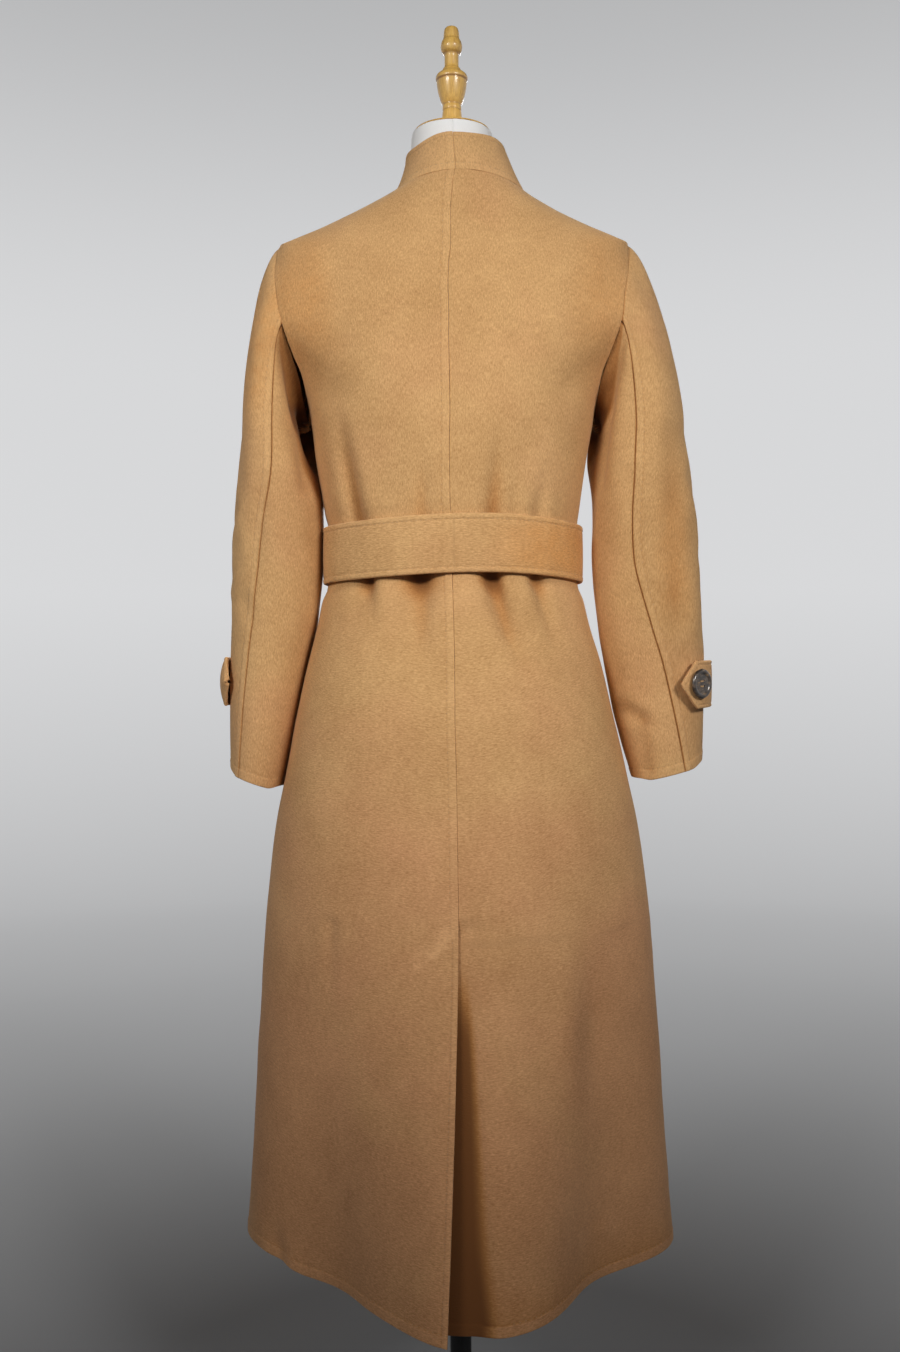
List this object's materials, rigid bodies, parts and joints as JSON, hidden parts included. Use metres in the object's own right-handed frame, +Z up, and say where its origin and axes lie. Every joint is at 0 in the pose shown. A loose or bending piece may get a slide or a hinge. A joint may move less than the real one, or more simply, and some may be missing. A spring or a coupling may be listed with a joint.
{
  "type": "wrap coat on a dress form",
  "caption": "Calf-length belted wrap coat with standing collar, two-piece sleeves, cuff tabs and a centre-back vent, worn by a limbless dress form on a pole and round base.",
  "frame": {"origin": "centre of the round base's underside", "axes": "+Z up along the pole, -Y the coat's front, +X the wearer's left"},
  "size_m": [0.5736, 0.4835, 1.6403],
  "materials": {
    "camel_wool": "brushed double-faced wool",
    "horn": "polished dark horn",
    "form_cover": "white knitted cover",
    "turned_wood": "lacquered",
    "black_metal": "satin black"
  },
  "bodies": {
    "root": {"back_left": "camel_wool", "back_right": "camel_wool", "front_left": "camel_wool", "front_right": "camel_wool", "collar_left": "camel_wool", "collar_right": "camel_wool", "sleeve_top_left": "camel_wool", "sleeve_under_left": "camel_wool", "sleeve_top_right": "camel_wool", "sleeve_under_right": "camel_wool", "cuff_tab_left": "camel_wool", "cuff_tab_right": "camel_wool", "cuff_button_left": "horn", "cuff_button_right": "horn", "belt": "camel_wool", "belt_knot": "camel_wool", "belt_tail_left": "camel_wool", "belt_tail_right": "camel_wool", "form_torso": "form_cover", "form_neck_cap": "turned_wood", "form_finial": "turned_wood", "stand_pole": "black_metal", "stand_base": "black_metal"}
  },
  "joints": []
}
